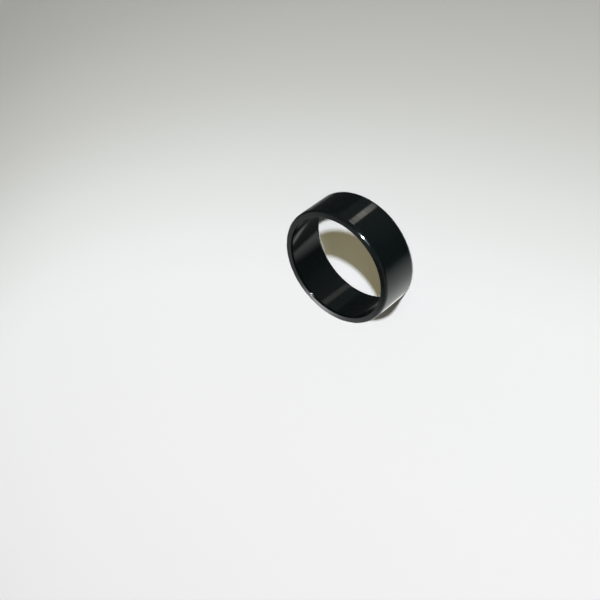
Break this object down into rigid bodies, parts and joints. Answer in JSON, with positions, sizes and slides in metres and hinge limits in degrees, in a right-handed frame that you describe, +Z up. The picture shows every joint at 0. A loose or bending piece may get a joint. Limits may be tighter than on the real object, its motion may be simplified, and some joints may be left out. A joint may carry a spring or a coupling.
{
  "type": "spacer sleeve",
  "caption": "Plain turned spacer sleeve: a short, thin-walled ring with a smooth through bore, flat ends, a small edge break outside and a slight lead-in at each end of the bore.",
  "frame": {"origin": "centre of the lower end face, on the sleeve's axis", "axes": "+Z up along the bore; +X and +Y are any two square directions across it, because the sleeve is a body of revolution"},
  "size_m": [0.034, 0.034, 0.012],
  "materials": {
    "black_anodise": "polished, dyed black"
  },
  "bodies": {
    "root": {"spacer_sleeve": "black_anodise"}
  },
  "joints": []
}
